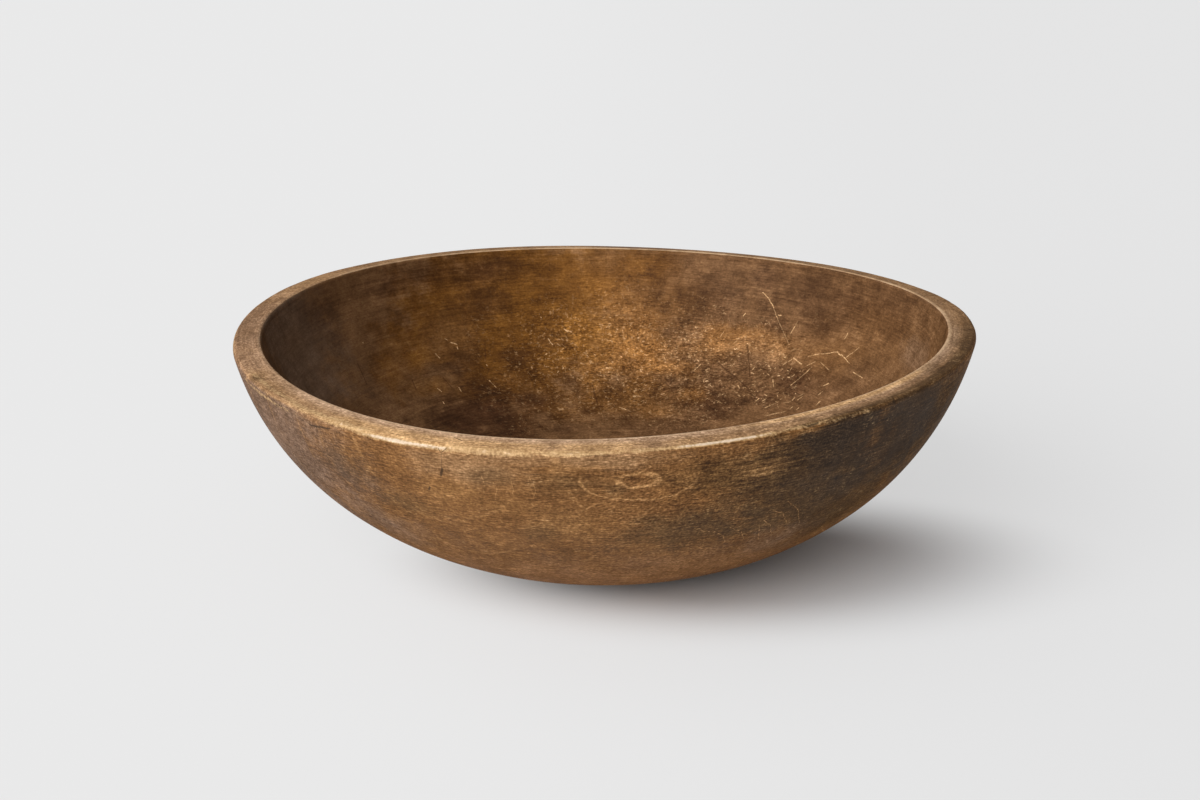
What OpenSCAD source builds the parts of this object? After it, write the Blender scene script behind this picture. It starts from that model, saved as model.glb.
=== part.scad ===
// Turned wooden dough bowl, one piece of hard maple, in millimetres.
// The outside and the hollow are each two tangent arcs, as a turner sweeps them. The finished
// section is then sprung out of true, the way a bowl turned from green wood moves as it dries:
// it goes oval, and its rim rises along the grain and falls across it.

/* [Outside] */
// Mean diameter across the rim's outer corner
rim_d = 380; // [300:5:460]
// Mean height of the rim's outer corner above the table
rim_h = 113; // [95:0.5:135]
// Mean diameter of the flat foot
foot_d = 122; // [90:1:150]
// Slope of the outside where it leaves the foot, in degrees
foot_slope = 10; // [6:0.5:16]
// Slope of the outside where it meets the rim, in degrees
rim_slope = 75; // [68:0.5:80]

/* [Rim] */
// Width of the rim's top face before its corners are eased
rim_w = 15.2; // [11:0.1:19]
// Outward fall of the rim's top face, in degrees
rim_fall = 7.3; // [3:0.1:12]
// Radius that wear has put on the outer corner
outer_ease = 2.4; // [1:0.1:3.5]
// Radius of the softened inner corner
inner_ease = 1.6; // [0.8:0.1:3]

/* [Hollow] */
// Thickness of the wood under the middle of the hollow
floor_t = 17; // [12:0.5:24]
// Slope of the hollow's side just under the rim, in degrees
hollow_slope = 73; // [66:0.5:78]
// Radius that softens the edge of the foot
foot_ease = 2; // [1:0.1:4]

/* [Movement in drying] */
// How much longer the rim is along the grain than across it
oval = 4.6; // [0:0.2:12]
// How far the rim rises at the ends of the grain, and falls at its sides
rim_wave = 4; // [0:0.1:6]
// How much higher the rim stands at +X than at the middle
rim_lift = 2.6; // [0:0.1:5]
// Direction of the grain from +X, in degrees
grain_turn = -22; // [-45:1:45]

/* [Hidden] */

// Steps round the bowl, along each of an outline's arcs, and round each eased corner
around = 96;
arc_steps = 8;
corner_steps = 3;
// How far the rough foot runs below the table before it is flattened
foot_overrun = 3;
// The movement grows with height to this power, so that the foot keeps still
movement_power = 1.5;

rim_r = rim_d / 2;
foot_r = foot_d / 2;
outer_corner = [rim_r, rim_h];
inner_corner = outer_corner + rim_w * heading(180 - rim_fall);
rim_top = inner_corner.y;

// Unit vector at an angle, in the plane of the section: x outwards and y up
function heading(a) = [cos(a), sin(a)];

// The angle of a vector
function angle_of(v) = atan2(v.y, v.x);

// The angle from a to b by the shorter way round
function turn(a, b) = (b - a + 540) % 360 - 180;

// Points of the arc that leaves p along angle a and ends at q, without p itself
function arc(p, a, q, steps) =
    let (
        chord = q - p,
        sweep = 2 * turn(a, angle_of(chord)),
        radius = norm(chord) / (2 * sin(sweep / 2)),
        centre = p + radius * heading(a + 90)
    )
    [for (i = [1 : steps]) centre + radius * heading(a - 90 + sweep * i / steps)];

// How far each arc's end tangent reaches when two arcs share the way from p to q evenly
function tangent_reach(p, a, q, b) =
    let (
        v = q - p,
        t = heading(a) + heading(b),
        k = 2 * (1 - heading(a) * heading(b)),
        m = v * t
    )
    (sqrt(m * m + k * (v * v)) - m) / k;

// Two tangent arcs from p, leaving along angle a, to q, arriving along angle b, without p
function two_arcs(p, a, q, b, steps) =
    let (
        reach = tangent_reach(p, a, q, b),
        knee_in = p + reach * heading(a),
        knee_out = q - reach * heading(b),
        middle = (knee_in + knee_out) / 2
    )
    concat(
        arc(p, a, middle, steps),
        arc(middle, angle_of(knee_out - knee_in), q, steps)
    );

// How far back from a corner its easing starts, when the outline turns there from angle a to b
function ease_reach(a, b, radius) = radius * tan(abs(turn(a, b)) / 2);

// The angles at which the outline runs: up the outside, in over the rim, and up out of the hollow
face_angle = 180 - rim_fall;
hollow_angle = 180 + hollow_slope;

// The eased corners' ends
outer_reach = ease_reach(rim_slope, face_angle, outer_ease);
inner_reach = ease_reach(face_angle, hollow_angle, inner_ease);
foot_reach = ease_reach(0, foot_slope, foot_ease);
foot_end = [foot_r - foot_reach, 0];
side_start = [foot_r, 0] + foot_reach * heading(foot_slope);
side_end = outer_corner - outer_reach * heading(rim_slope);
face_start = outer_corner + outer_reach * heading(face_angle);
face_end = inner_corner - inner_reach * heading(face_angle);
hollow_start = inner_corner + inner_reach * heading(hollow_angle);
floor_middle = [0, floor_t];

// The section's outline, from the foot's edge round the outside and the rim to the hollow's middle
hollow_side = two_arcs(floor_middle, 0, hollow_start, hollow_slope, arc_steps);
outline = concat(
    [foot_end - [0, foot_overrun], foot_end],
    arc(foot_end, 0, side_start, corner_steps),
    two_arcs(side_start, foot_slope, side_end, rim_slope, arc_steps),
    arc(side_end, rim_slope, face_start, corner_steps),
    [face_end],
    arc(face_end, face_angle, hollow_start, corner_steps),
    [for (i = [len(hollow_side) - 2 : -1 : 0]) hollow_side[i]]
);

// Moves a point of the true bowl, at angle a round it, to where drying has taken it
function sprung(p, a) =
    let (
        share = p.x / rim_r,
        rise = p.y > 0 ? pow(p.y / rim_top, movement_power) : 0,
        across = 2 * (a - grain_turn),
        radius = p.x + share * rise * oval / 4 * cos(across),
        lift = rise * (share * share * rim_wave * cos(across) + share * rim_lift * cos(a))
    )
    [radius * cos(a), radius * sin(a), p.y + lift];

module sprung_turning(outline, top_pole, bottom_pole) {
    rings = len(outline);
    points = concat(
        [for (p = outline, i = [0 : around - 1]) sprung(p, 360 * i / around)],
        [sprung(bottom_pole, 0), sprung(top_pole, 0)]
    );
    bottom = rings * around;
    top = bottom + 1;
    next = function(i) (i + 1) % around;
    polyhedron(
        points = points,
        faces = concat(
            [for (r = [0 : rings - 2], i = [0 : around - 1])
                each [
                    [r * around + i, (r + 1) * around + i, r * around + next(i)],
                    [r * around + next(i), (r + 1) * around + i, (r + 1) * around + next(i)]
                ]
            ],
            [for (i = [0 : around - 1]) [bottom, i, next(i)]],
            [for (i = [0 : around - 1])
                [top, (rings - 1) * around + next(i), (rings - 1) * around + i]
            ]
        )
    );
}

// The whole bowl, with its foot flattened so that it stands without rocking
module bowl() {
    color("saddlebrown")
    difference() {
        sprung_turning(outline, floor_middle, [0, -foot_overrun]);
        translate([0, 0, -2 * foot_overrun])
            cylinder(r = foot_r, h = 2 * foot_overrun);
    }
}

bowl();
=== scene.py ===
"""Turned wooden dough bowl, its worn finish, and the plain table and light that show it."""

import math

import bpy
import numpy as np
from bpy.props import FloatProperty, FloatVectorProperty, PointerProperty
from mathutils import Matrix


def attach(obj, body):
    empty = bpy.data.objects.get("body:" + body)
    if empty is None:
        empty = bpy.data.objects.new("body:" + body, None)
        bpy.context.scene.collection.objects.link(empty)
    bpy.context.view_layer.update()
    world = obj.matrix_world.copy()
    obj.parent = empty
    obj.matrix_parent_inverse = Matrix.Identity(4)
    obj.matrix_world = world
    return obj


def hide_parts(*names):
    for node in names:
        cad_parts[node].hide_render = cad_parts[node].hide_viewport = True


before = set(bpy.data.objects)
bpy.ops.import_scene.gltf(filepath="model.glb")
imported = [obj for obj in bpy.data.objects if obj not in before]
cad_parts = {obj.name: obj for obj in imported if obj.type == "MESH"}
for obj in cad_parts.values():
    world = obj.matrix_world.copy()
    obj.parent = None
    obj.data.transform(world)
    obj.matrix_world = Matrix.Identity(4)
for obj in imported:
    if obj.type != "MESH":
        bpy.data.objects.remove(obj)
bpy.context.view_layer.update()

bl_info = {
    "name": "Dough bowl",
    "version": (1, 0, 0),
    "blender": (4, 5, 0),
    "location": "View3D > Sidebar > Dough bowl",
    "description": "Makes a worn, turned wooden dough bowl and the table it stands on",
    "category": "Add Mesh",
}

MM = 0.001


# ---------------------------------------------------------------- settings


def length(name, words, default):
    """A length in metres that a user can change."""
    return FloatProperty(
        name=name, description=words, default=default, unit="LENGTH", precision=4
    )


def slope(name, words, degrees):
    """An angle that a user can change."""
    return FloatProperty(
        name=name, description=words, default=math.radians(degrees), unit="ROTATION"
    )


def colour(name, words, default):
    """A colour that a user can change."""
    return FloatVectorProperty(
        name=name, description=words, default=default, size=3, min=0, max=1, subtype="COLOR"
    )


def amount(name, words, default, low=0.0, high=1.0):
    """A plain number that a user can change."""
    return FloatProperty(name=name, description=words, default=default, min=low, max=high)


class BowlShape(bpy.types.PropertyGroup):
    """Sizes of the turned bowl, as in the part's source."""

    rim_width: length("Rim diameter", "Mean diameter across the rim's outer corner", 0.380)
    rim_height: length("Rim height", "Mean height of the rim's outer corner", 0.113)
    foot_width: length("Foot diameter", "Mean diameter of the flat foot", 0.122)
    foot_slope: slope("Foot slope", "Slope of the outside where it leaves the foot", 10)
    rim_slope: slope("Rim slope", "Slope of the outside where it meets the rim", 75)
    face_width: length("Rim thickness", "Width of the rim's top face", 0.0152)
    face_fall: slope("Rim fall", "Outward fall of the rim's top face", 7.3)
    floor_thickness: length("Floor thickness", "Wood under the middle of the hollow", 0.017)
    hollow_slope: slope("Hollow slope", "Slope of the hollow's side just under the rim", 73)
    oval: length("Oval", "How much longer the rim is along the grain", 0.0046)
    rim_wave: length("Rim wave", "Rise of the rim at the ends of the grain", 0.004)
    rim_lift: length("Rim lift", "How much higher the rim stands at +X", 0.0026)
    grain_turn: slope("Grain direction", "Direction of the grain from +X", -22)


class WoodFinish(bpy.types.PropertyGroup):
    """Colours of the old, handled maple, with the painted shade, sheen and highlights laid over it.
    """

    outside: colour("Outside", "Oiled brown of the outside", (0.176, 0.079, 0.0245))
    # Grey-brown, partly a painted sheen where the sides turn away at the edges
    outside_grey_and_sheen: colour("Outside, dry", "Dry brown under thin finish", (0.158, 0.092, 0.056))
    outside_low: colour("Outside, low", "Paler brown towards the foot", (0.235, 0.112, 0.043))
    # Partly real dark stains, partly painted shade on the side away from the light
    outside_dark_and_shade: colour("Outside, dark", "Handled and darkened wood", (0.078, 0.039, 0.0132))
    # Smoke stain, and partly painted shade on the right side
    outside_smoke_and_shade: colour("Outside, smoked", "Blue-black smoke stain", (0.038, 0.0205, 0.0097))
    outside_gold: colour("Outside, golden", "Bright wood under thin finish", (0.295, 0.147, 0.05))
    grain_line: colour("Grain line", "Golden lines of the growth rings", (0.4, 0.21, 0.08))
    rim: colour("Rim", "Rubbed wood of the rim", (0.3, 0.166, 0.076))
    rim_grey: colour("Rim, dry", "Dry wood of the rim", (0.258, 0.143, 0.075))
    # Pale handled wood, and also a painted highlight on the inner half of the rim's face
    rim_pale_and_highlight: colour("Rim, pale", "Where the rim is handled most", (0.505, 0.293, 0.129))
    rim_dark: colour("Rim, dark", "Where oil and smoke stay on the rim", (0.19, 0.103, 0.052))
    # A painted sheen on the inner half of the rim's face
    rim_inner_sheen: colour("Rim, inner side", "Dry wood beside the inner corner", (0.4, 0.25, 0.15))
    corner: colour("Outer corner", "Golden wood of the rubbed outer corner", (0.44, 0.278, 0.13))
    # A painted highlight on the rounded inner corner
    arris: colour("Inner corner", "Dry, rubbed wood of the inner corner", (0.545, 0.366, 0.218))
    worn: colour("Worn wood", "Bare wood where the corner is worn through", (0.62, 0.48, 0.345))
    hollow: colour("Hollow", "Oiled brown of the hollow", (0.137, 0.0655, 0.026))
    hollow_grey: colour("Hollow, dry", "Dry brown near the rim", (0.137, 0.081, 0.048))
    hollow_amber: colour("Hollow, amber", "Amber where oil has soaked in", (0.129, 0.05, 0.0078))
    hollow_dark: colour("Hollow, dark", "Soaked and darkened wood", (0.051, 0.0198, 0.007))
    hollow_gold: colour("Hollow, golden", "Wood rubbed bright by use", (0.25, 0.104, 0.02))
    scuffed: colour("Scuffed wood", "Dry wood under fine scuffs", (0.302, 0.131, 0.034))
    worn_hollow: colour("Scratched wood", "Bare wood in a fresh scratch", (0.76, 0.47, 0.23))
    sheen: amount("Sheen", "How much of the light the finish mirrors", 0.13)
    shine: amount("Roughness", "Mean roughness of the finish", 0.6)


class StudioSettings(bpy.types.PropertyGroup):
    """The table, the light and the camera."""

    table: colour("Table", "Pale paper under the bowl", (0.800, 0.800, 0.806))
    key_strength: amount("Key light", "Strength of the big soft light", 3.3, 0, 20)
    key_height: slope("Key height", "Angle of the key light above the table", 28)
    key_turn: slope("Key direction", "Where the key light stands, from +X", 234)
    key_spread: slope("Key softness", "How wide the key light looks from the bowl", 60)
    sky_strength: amount("Fill light", "Strength of the even light all round", 0.47, 0, 5)
    sky_lean: amount("Fill lean", "How much more of the even light comes from the left", 0.7)
    camera_place: FloatVectorProperty(
        name="Camera place",
        description="Where the camera stands",
        default=(-0.00188, -1.40311, 0.51682),
        size=3,
        subtype="TRANSLATION",
        unit="LENGTH",
    )
    camera_tilt: slope("Camera tilt", "How far the camera looks down", 17.4488)
    camera_lens: amount("Camera lens", "Focal length in millimetres", 85.0, 10, 300)


# ---------------------------------------------------------------- the turned section


def heading(angle):
    """Unit vector in the plane of the section: outwards, and up."""
    return np.array([math.cos(angle), math.sin(angle)])


def bend(start, end):
    """The turn from one direction to another by the shorter way round."""
    return (end - start + math.pi) % (2 * math.pi) - math.pi


def arc(start, angle, end, steps):
    """Points of the arc that leaves start along angle and ends at end, without start."""
    chord = end - start
    sweep = 2 * bend(angle, math.atan2(chord[1], chord[0]))
    radius = np.linalg.norm(chord) / (2 * math.sin(sweep / 2))
    centre = start + radius * heading(angle + math.pi / 2)
    first = angle - math.pi / 2
    return [centre + radius * heading(first + sweep * i / steps) for i in range(1, steps + 1)]


def two_arcs(start, angle, end, end_angle, steps):
    """Two tangent arcs from start to end, without start, as in the part's source."""
    chord = end - start
    share = 2 * (1 - heading(angle) @ heading(end_angle))
    ahead = chord @ (heading(angle) + heading(end_angle))
    reach = (math.sqrt(ahead * ahead + share * (chord @ chord)) - ahead) / share
    knee_in = start + reach * heading(angle)
    knee_out = end - reach * heading(end_angle)
    middle = (knee_in + knee_out) / 2
    along = knee_out - knee_in
    turn = math.atan2(along[1], along[0])
    return arc(start, angle, middle, steps) + arc(middle, turn, end, steps)


def rings_on(points, places):
    """The points of a polyline at the given distances along it, and its direction there."""
    points = np.array(points)
    steps = np.linalg.norm(np.diff(points, axis=0), axis=1)
    run = np.concatenate([[0], np.cumsum(steps)])
    at = np.stack([np.interp(places, run, points[:, k]) for k in (0, 1)], axis=1)
    slopes = np.gradient(points, run, axis=0)
    along = np.stack([np.interp(places, run, slopes[:, k]) for k in (0, 1)], axis=1)
    return at, along / np.linalg.norm(along, axis=1, keepdims=True)


def run_of(points):
    """The length of a polyline."""
    return float(np.linalg.norm(np.diff(np.array(points), axis=0), axis=1).sum())


# Sizes of the mesh's cells and of the wear on the corners, all in mm.
FAR_STEP = 2.75  # the longest step between two rings
ARRIS_STEP = 0.3  # the step beside the inner corner
CORNER_STRAIGHT, ARRIS_STRAIGHT = 2.75, 1.35  # how far the wall runs straight below each corner
CORNER_EASE, ARRIS_EASE = 2.75, 1.40  # how far the least easing reaches to each side
FOOT_EASE = 2.0
NORMAL_REACH = 3.2  # how far to each side of a corner the outward direction turns
FACE_CROWN = 0.05  # how far the middle of the rim's face stands proud
OUTSIDE_MARKS, HOLLOW_MARKS = 0.09, 0.10  # depth of the marks of a hand-held tool
POLE_DROP = 0.1  # how far the tool went below the hollow's true middle

# How full the easing of the outer and the inner corner is: 0 is a straight bevel.
CORNER_FULLNESS, ARRIS_FULLNESS = 0.62, 0.76

# How much longer each step is than the one before, away from the corners.
STEP_GROWTH = 1.35

# The mesh's even columns, and the extra ones at a narrow nick, in half widths from its middle.
EVEN_COLUMNS = 372
NARROW_NICK = 0.6
NICK_COLUMNS = (-1.2, -0.6, 0.0, 0.6, 1.2)
LEAST_GAP = 0.08

# Small waves in the easing of the outer corner: size in mm, turns round the bowl and phase.
RIPPLES = ((0.16, 5, 0.4), (0.12, 13, 2.0), (0.08, 29, 1.1), (0.05, 61, 3.0))


def graded(total, near, edge, far):
    """Distances from 0 to total: near steps up to the edge from each end, far ones between."""

    def half(step):
        steps, place = [0.0], 0.0
        while place < total:
            step = min(step * (STEP_GROWTH if place > edge else 1.0), far)
            place += step
            steps.append(place)
        return [p for p in steps if p < total / 2]

    low = half(near[0])
    high = [total - p for p in half(near[1])]
    gap = high[-1] - low[-1]
    fill = [low[-1] + gap / 2] if gap > 1.3 * far else []
    return np.array(low + fill + high[::-1])


# Damage along the rim's outer corner: place round the bowl in degrees, distance past the corner in
# mm, half its width in degrees, half its height in mm, and depth in mm.
NICKS = [
    (300.9, 1.2, 0.75, 1.5, 0.9), (299.6, 0.4, 0.5, 1.1, 0.5), (316.4, 0.6, 0.22, 2.6, 0.55),
    (317.4, 1.6, 0.3, 1.2, 0.35), (245.6, -0.6, 0.3, 2.4, 0.65), (243.8, -1.2, 0.8, 0.9, 0.35),
    (233.5, 0.5, 0.7, 1.0, 0.3), (227.2, 1.0, 0.9, 1.4, 0.45), (259.0, 0.2, 0.5, 1.0, 0.25),
    (204.0, 0.2, 0.6, 1.3, 0.35), (120.5, 0.5, 0.7, 1.4, 0.5), (64.0, -0.5, 0.6, 1.2, 0.4),
    (12.5, 0.6, 0.5, 1.0, 0.4), (152.0, 0.0, 1.2, 1.6, 0.45),
]

# Where hands and tables have worn the outer corner: place and half its length in degrees, extra
# reach of the easing in mm, how bare the wood is, how far past the corner the middle of the bare
# band lies in mm, and the band's reach to each side in mm.
WORN_STRETCHES = [
    (240.5, 8.5, 1.3, 0.89, -0.5, 2.0), (230.0, 6.0, 0.8, 0.52, 1.7, 3.0),
    (224.0, 9.0, 0.6, 0.4, 2.8, 3.4), (210.0, 9.0, 0.2, 0.34, 4.4, 1.9),
    (208.0, 11.0, 0.2, 0.3, -3.4, 1.8), (254.0, 7.0, 0.8, 0.5, 0.4, 3.6),
    (266.0, 7.0, 0.8, 0.5, 0.6, 2.6), (275.5, 4.5, 0.5, 0.46, 1.2, 2.2),
    (286.5, 8.5, 0.2, 0.92, 1.1, 1.6), (299.0, 4.5, 0.6, 0.34, 1.4, 1.4),
    (308.0, 6.0, 0.2, 0.24, 0.1, 1.5), (180.0, 14.0, 0.5, 0.3, -0.3, 2.6),
    (128.0, 12.0, 1.1, 0.6, -0.3, 3.1), (78.0, 14.0, 0.9, 0.55, -0.3, 2.9),
    (30.0, 10.0, 0.8, 0.5, -0.3, 2.8),
]


def around_off(angles, centre):
    """How far round the bowl, in degrees, angles are from centre by the shorter way."""
    return (np.degrees(angles) - centre + 180) % 360 - 180


def bowl_columns():
    """Angles of the mesh's columns: even all round, and close together at the nicks."""
    angles = [360 * i / EVEN_COLUMNS for i in range(EVEN_COLUMNS)]
    for place, _, wide, _, _ in NICKS:
        if wide < NARROW_NICK:
            angles += [place + wide * k for k in NICK_COLUMNS]
    angles = sorted(a % 360 for a in angles)
    kept = [a for i, a in enumerate(angles) if i == 0 or a - angles[i - 1] > LEAST_GAP]
    return np.radians(np.array(kept))


def bowl_rings(shape):
    """The section in four stretches, each with its length, and its rings' places and directions."""
    foot = shape.foot_width / 2
    corner = np.array([shape.rim_width / 2, shape.rim_height])
    arris = corner + shape.face_width * heading(math.pi - shape.face_fall)
    foot_reach = FOOT_EASE * MM * math.tan(shape.foot_slope / 2)
    foot_end = np.array([foot - foot_reach, 0.0])
    side_start = np.array([foot, 0.0]) + foot_reach * heading(shape.foot_slope)
    side_end = corner - CORNER_STRAIGHT * MM * heading(shape.rim_slope)
    hollow_start = arris - ARRIS_STRAIGHT * MM * heading(shape.hollow_slope)
    middle = np.array([0.0, shape.floor_thickness])

    under = [np.zeros(2), foot_end] + arc(foot_end, 0, side_start, 4)
    outer = two_arcs(side_start, shape.foot_slope, side_end, shape.rim_slope, 60)
    inner = two_arcs(middle, 0, hollow_start, shape.hollow_slope, 60)
    stretches = []
    for points, near, edge, far in (
        (under, (4, 0.6), 2, FAR_STEP),
        ([side_start] + outer + [corner], (0.8, 0.55), 5, FAR_STEP),
        ([corner, arris], (0.55, ARRIS_STEP), 5, 1.1),
        ([arris] + inner[::-1] + [middle], (ARRIS_STEP, FAR_STEP), 2.4, FAR_STEP),
    ):
        total = run_of(points)
        places = graded(total, [step * MM for step in near], edge * MM, far * MM)
        stretches.append((total, places, *rings_on(points, places)))
    return stretches, foot, corner, arris


def wear_at(angles, from_corner):
    """How far wear widens the outer corner's easing, and how bare it leaves the wood."""
    extra = np.zeros(len(angles))
    bare = np.zeros((len(from_corner), len(angles)))
    for place, half, more, bareness, middle, wide in WORN_STRETCHES:
        share = np.exp(-((around_off(angles, place) / half) ** 4))
        extra = np.maximum(extra, more * MM * share)
        band = np.clip(1.25 - np.abs(from_corner - middle * MM) / (wide * MM), 0, 1)
        bare = np.maximum(bare, bareness * share * band)
    return extra, bare


def ease(offset, reach, point, fullness, ring, walls):
    """Rounds a corner off in every column, with a conic that starts and ends on the section."""
    share = np.clip((offset + reach) / (2 * reach), 0, 1)
    near = np.abs(offset) < reach
    weights = (1 - share) ** 2, 2 * fullness * share * (1 - share), share**2
    for k, values in enumerate(walls):
        first, last = (np.interp(way * reach, offset[:, 0], ring[:, k]) for way in (-1, 1))
        conic = weights[0] * first + weights[1] * point[k] + weights[2] * last
        values[near] = (conic / sum(weights))[near]


def soft_normals(along, offsets):
    """The outward direction at every ring, turned gradually over the corners."""
    normal = np.stack([along[:, 1], -along[:, 0]], axis=1)
    reach = NORMAL_REACH * MM
    for offset in offsets:
        near = np.abs(offset) < reach
        before, after = normal[near][0], normal[near][-1]
        share = np.clip((offset[near] + reach) / (2 * reach), 0, 1)[:, None]
        mixed = before * (1 - share) + after * share
        normal[near] = mixed / np.linalg.norm(mixed, axis=1, keepdims=True)
    return normal


def tool_marks(angles, chart, foot, in_hollow):
    """How much a hand-held tool took off the walls, always inside the true shape."""
    far = chart / 0.24
    wave = (
        np.sin(3 * angles + 5 * far)
        + 0.7 * np.sin(7 * angles - 9 * far + 1.3)
        + 0.5 * np.sin(11 * angles + 14 * far + 0.6)
    ) / 2.2
    past_foot = np.clip((chart - foot - 4 * MM) / (20 * MM), 0, 1)
    return np.where(in_hollow, HOLLOW_MARKS, OUTSIDE_MARKS * past_foot) * (1 + wave) * MM


def bowl_section(shape, angles):
    """Radius and height of every ring at every column before drying moved them, and the chart."""
    stretches, foot, corner, arris = bowl_rings(shape)
    lengths = [stretch[0] for stretch in stretches]
    corner_at, arris_at = sum(lengths[:2]), sum(lengths[:3])
    # The first ring of each stretch but one is the last of the stretch before.
    kept = [slice(0 if i == 0 else 1, None) for i in range(len(stretches))]
    starts = np.cumsum([0.0] + lengths[:-1])
    run = [start + s[1][keep] for start, s, keep in zip(starts, stretches, kept)]
    first_inside = sum(len(places) for places in run[:3])
    run = np.concatenate(run)
    ring = np.concatenate([s[2][keep] for s, keep in zip(stretches, kept)])
    along = np.concatenate([s[3][keep] for s, keep in zip(stretches, kept)])
    in_hollow = np.arange(len(run)) >= first_inside
    chart = np.where(in_hollow, arris_at + lengths[3] - run, run)
    from_corner = (run - corner_at)[:, None]
    from_arris = (run - arris_at)[:, None]
    radius, height = (np.repeat(ring[:, k : k + 1], len(angles), axis=1) for k in (0, 1))

    # Wear rounds the corners off, more in some stretches than in others.
    extra, worn = wear_at(angles, from_corner)
    ripple = sum(size * np.sin(turns * angles + phase) for size, turns, phase in RIPPLES)
    corner_reach = CORNER_EASE * MM + extra + np.maximum(0, ripple) * MM
    arris_reach = ARRIS_EASE * MM + 0.25 * (1 + np.sin(3 * angles + 3.93)) * MM
    ease(from_corner, corner_reach, corner, CORNER_FULLNESS, ring, (radius, height))
    ease(from_arris, arris_reach, arris, ARRIS_FULLNESS, ring, (radius, height))

    # The rim's face is rubbed slightly round across its width.
    on_face = np.clip(from_corner / lengths[2], 0, 1)
    crown = np.clip(1 - (2 * on_face - 1) ** 2, 0, 1) * (on_face > 0) * (on_face < 1)
    loss = tool_marks(angles, chart[:, None], foot, in_hollow[:, None])
    move = FACE_CROWN * MM * crown - loss * (np.abs(from_arris) > 3 * MM)

    # Nicks and dents in the outer corner, each a little crooked.
    for place, past, wide, high, deep in NICKS:
        off = around_off(angles, place)[None, :] / wide
        off = off + 0.35 * np.sin(from_corner / (0.9 * MM) + place)
        dent = np.exp(-(off**2) - ((from_corner / MM - past) / high) ** 4)
        move = move - deep * MM * dent
    normal = soft_normals(along, (from_corner[:, 0], from_arris[:, 0]))
    radius = radius + move * normal[:, :1]
    height = height + move * normal[:, 1:]
    return first_inside, chart, radius, height, worn, corner_at, arris_at


def sprung(shape, radius, height, angles):
    """Moves points of the true bowl to where drying has taken them."""
    rim = shape.rim_width / 2
    top = shape.rim_height + shape.face_width * math.sin(shape.face_fall)
    share = radius / rim
    rise = np.clip(height / top, 0, None) ** 1.5
    across = np.cos(2 * (angles - shape.grain_turn))
    out = radius + share * rise * shape.oval / 4 * across
    lift = rise * (share**2 * shape.rim_wave * across + share * shape.rim_lift * np.cos(angles))
    return np.stack([out * np.cos(angles), out * np.sin(angles), height + lift], axis=-1)


def lay_charts(mesh, run, angle, in_hollow, arris_at):
    """Two flat charts, in metres, polar from the middle of the foot and of the hollow.

    Distance from a chart's middle is the distance along the wood, so neither has a seam.
    """
    place = np.stack([run * np.cos(angle), run * np.sin(angle)], axis=1)
    flat = mesh.uv_layers.new(name="chart", do_init=False)
    flat.uv.foreach_set("vector", place.astype(np.float32).ravel())

    # The same two charts, cornerwise in one square, for baked pictures.
    width = 2 * arris_at * 1.01
    size = (2 - math.sqrt(2)) / width
    shift = np.where(in_hollow, 1 - size * width / 2, size * width / 2)[:, None]
    atlas = mesh.uv_layers.new(name="OFBake", do_init=False)
    atlas.uv.foreach_set("vector", (place * size + shift).astype(np.float32).ravel())


def bowl_mesh(shape):
    """The whole bowl as one closed mesh, with its two charts and its wear mask."""
    angles = bowl_columns()
    first_inside, chart, radius, height, worn, corner_at, arris_at = bowl_section(shape, angles)
    # The first and last rings shrink to the middle of the foot and of the hollow.
    body = sprung(shape, radius[1:-1], height[1:-1], angles)
    rows, columns = body.shape[:2]
    poles = [[0, 0, 0], [0, 0, shape.floor_thickness - POLE_DROP * MM]]
    points = np.concatenate([body.reshape(-1, 3), poles])
    points[:, 2] = np.maximum(points[:, 2], 0)
    bottom, top = rows * columns, rows * columns + 1

    i = np.arange(rows - 1)[:, None] * columns
    j = np.arange(columns)[None, :]
    after = (j + 1) % columns
    corners = [i + j, i + after, i + columns + after, i + columns + j]
    quads = np.stack(corners, axis=-1).reshape(-1, 4)
    last = (rows - 1) * columns
    caps = [(bottom, (k + 1) % columns, k) for k in range(columns)]
    caps += [(top, last + k, last + (k + 1) % columns) for k in range(columns)]

    mesh = bpy.data.meshes.new("dough_bowl")
    mesh.from_pydata(points.tolist(), [], quads.tolist() + caps)
    # The row on the inner corner, where the faces of the hollow start
    seam = first_inside - 2
    quads_inside = np.repeat(np.arange(rows - 1) >= seam, columns)
    inside = np.concatenate([quads_inside, np.zeros(columns, bool), np.ones(columns, bool)])
    mesh.polygons.foreach_set("material_index", inside.astype(np.int32))
    mesh.polygons.foreach_set("use_smooth", np.ones(len(mesh.polygons), bool))

    vertex = np.zeros(len(mesh.loops), np.int32)
    mesh.loops.foreach_get("vertex_index", vertex)
    sides = np.concatenate([np.full(len(quads), 4), np.full(2 * columns, 3)])
    in_hollow = np.repeat(inside, sides)
    row = np.minimum(vertex // columns, rows - 1)
    # The inner corner's row is on both charts, and each gives it a distance of its own.
    outer_run = chart[1:-1]
    hollow_run = outer_run.copy()
    hollow_run[seam] = hollow_run[seam + 1] + ARRIS_STEP * MM
    run = np.where(in_hollow, hollow_run[row], outer_run[row])
    run[vertex >= rows * columns] = 0
    lay_charts(mesh, run, angles[vertex % columns], in_hollow, arris_at)

    mask = mesh.attributes.new("worn", "FLOAT", "POINT")
    bare = np.concatenate([worn[1:-1].ravel(), [0, 0]])
    mask.data.foreach_set("value", bare.astype(np.float32))
    mesh.validate()
    mesh.update()
    return mesh, corner_at, arris_at


# ---------------------------------------------------------------- node helpers


# How fast red, green and blue fade as the wood gets darker
DEEPENING = (1.0, 1.12, 1.3)


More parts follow.
